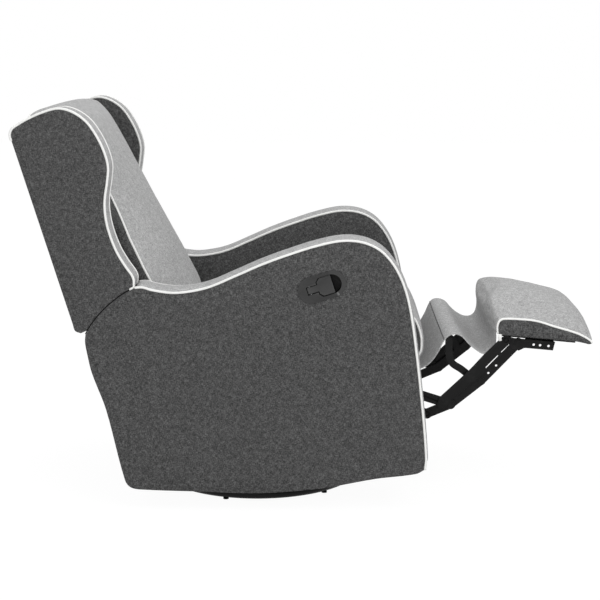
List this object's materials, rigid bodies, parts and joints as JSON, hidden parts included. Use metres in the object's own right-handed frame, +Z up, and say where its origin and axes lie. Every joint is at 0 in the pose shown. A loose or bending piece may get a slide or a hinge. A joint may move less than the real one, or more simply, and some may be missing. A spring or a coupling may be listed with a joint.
{
  "type": "swivel glider recliner",
  "caption": "Upholstered wing-back nursery recliner on a swivelling gliding base, with a folding footrest, reclining back and side release handle.",
  "frame": {"origin": "on the floor, at the middle of the footprint of the chair with its footrest open", "axes": "+X to the front of the chair, +Y to the sitter's left, +Z up"},
  "size_m": [1.4049, 0.703, 0.9867],
  "materials": {
    "fabric_dark": "dark grey heather weave",
    "fabric_light": "light grey heather weave",
    "black_steel": "semi-gloss black powder coat",
    "black_plastic": "fine-grained black",
    "zinc_steel": "zinc plated",
    "plywood": "raw plywood and pine",
    "webbing": "elastic webbing",
    "rubber": "matt",
    "cable_cover": "smooth black sheath"
  },
  "bodies": {
    "base": {"base_ring": "black_steel", "floor_pads": "rubber", "swivel_lower_plate": "black_steel", "swivel_bearing": "zinc_steel", "swivel_bolt": "zinc_steel"},
    "swivel": {"swivel_upper_plate": "black_steel", "glider_base": "black_steel", "glide_upper_pins": "zinc_steel"},
    "front_glide_links": {"glide_links_front": "black_steel"},
    "rear_glide_links": {"glide_links_rear": "black_steel"},
    "glide_frame": {"glide_plate_left": "black_steel", "glide_plate_right": "black_steel", "glide_cross_tubes": "black_steel", "glide_lower_pins": "zinc_steel", "tilt_shaft": "zinc_steel"},
    "chair": {"arm_pad_left": "fabric_dark", "arm_pad_right": "fabric_dark", "arm_frame_left": "plywood", "arm_frame_right": "plywood", "seat_frame": "plywood", "seat_springs": "zinc_steel", "seat_cushion": "fabric_light", "leg_flap": "fabric_light", "rear_panel": "fabric_dark", "rear_rails": "plywood", "mechanism_plate_left": "black_steel", "mechanism_plate_right": "black_steel", "mechanism_pivots": "black_steel", "recline_ears": "black_steel", "handle_surround": "black_plastic", "handle_pin": "zinc_steel", "release_cable": "cable_cover"},
    "cranks": {"crank_left": "black_steel", "crank_right": "black_steel", "torque_tube": "black_steel", "crank_rivets": "black_steel"},
    "guide_links": {"control_links": "black_steel"},
    "beams": {"beam_left": "black_steel", "beam_right": "black_steel", "beam_rivets": "black_steel", "flap_support": "black_steel"},
    "couplers": {"coupler_left": "black_steel", "coupler_right": "black_steel"},
    "footrest": {"footrest_bracket_left": "black_steel", "footrest_bracket_right": "black_steel", "footrest_rivets": "black_steel", "footrest_board": "plywood", "footrest_pad": "fabric_light"},
    "back": {"back_frame": "plywood", "back_webbing": "webbing", "back_shell": "fabric_dark", "back_cushion": "fabric_light", "wing_left": "fabric_dark", "wing_right": "fabric_dark", "back_brackets": "black_steel"},
    "handle": {"handle_paddle": "black_plastic"},
    "latch": {"release_latch": "black_steel"}
  },
  "joints": [
    {"name": "swivel", "type": "hinge", "parent": "base", "child": "swivel", "pos_m": [-0.134, 0, 0.04], "axis": [0, 0, 1], "continuous": true},
    {"name": "glide", "type": "hinge", "parent": "swivel", "child": "front_glide_links", "pos_m": [-0.039, 0, 0.19], "axis": [0, 1, 0], "range_deg": [-20, 20]},
    {"name": "glide_rear_links", "type": "hinge", "parent": "swivel", "child": "rear_glide_links", "pos_m": [-0.229, 0, 0.19], "axis": [0, 1, 0], "range_deg": [-20, 20]},
    {"name": "glide_carriage", "type": "hinge", "parent": "front_glide_links", "child": "glide_frame", "pos_m": [-0.039, 0, 0.075], "axis": [0, 1, 0], "range_deg": [-20, 20]},
    {"name": "body_tilt", "type": "hinge", "parent": "glide_frame", "child": "chair", "pos_m": [-0.134, 0, 0.2], "axis": [0, 1, 0], "range_deg": [0, 6.5]},
    {"name": "footrest_fold", "type": "hinge", "parent": "chair", "child": "cranks", "pos_m": [0.15416, 0, 0.30329], "axis": [0, 1, 0], "range_deg": [0, 106.4], "deforming": ["leg_flap"]},
    {"name": "beam_fold", "type": "hinge", "parent": "cranks", "child": "beams", "pos_m": [0.35565, 0, 0.23969], "axis": [0, 1, 0], "range_deg": [-97.81, 0]},
    {"name": "pad_fold", "type": "hinge", "parent": "beams", "child": "footrest", "pos_m": [0.52086, 0, 0.3974], "axis": [0, 1, 0], "range_deg": [0, 68.41]},
    {"name": "coupler_fold", "type": "hinge", "parent": "cranks", "child": "couplers", "pos_m": [0.33266, 0, 0.24029], "axis": [0, 1, 0], "range_deg": [-97.69, 0]},
    {"name": "guide_fold", "type": "hinge", "parent": "chair", "child": "guide_links", "pos_m": [0.098, 0, 0.2838], "axis": [0, 1, 0], "range_deg": [0, 106.41]},
    {"name": "recline", "type": "hinge", "parent": "chair", "child": "back", "pos_m": [-0.28601, 0, 0.29742], "axis": [0, -1, 0], "range_deg": [0, 25]},
    {"name": "handle_pull", "type": "hinge", "parent": "chair", "child": "handle", "pos_m": [0.00465, -0.346, 0.55198], "axis": [0.309, 0, -0.9511], "range_deg": [0, 30], "stiffness_Nm_per_rad": 0.3},
    {"name": "latch_release", "type": "hinge", "parent": "chair", "child": "latch", "pos_m": [0.104, -0.2115, 0.31065], "axis": [0, 1, 0], "range_deg": [-12, 0]}
  ],
  "couplings": [
    {"joint": "glide_rear_links", "follows": "glide", "ratio": 1},
    {"joint": "glide_carriage", "follows": "glide", "ratio": -1},
    {"joint": "body_tilt", "follows": "footrest_fold", "ratio": 0.061},
    {"joint": "beam_fold", "follows": "footrest_fold", "ratio": -0.9192},
    {"joint": "pad_fold", "follows": "footrest_fold", "ratio": 0.6429},
    {"joint": "coupler_fold", "follows": "footrest_fold", "ratio": -0.918},
    {"joint": "guide_fold", "follows": "footrest_fold", "ratio": 1},
    {"joint": "latch_release", "follows": "handle_pull", "ratio": -0.4}
  ]
}
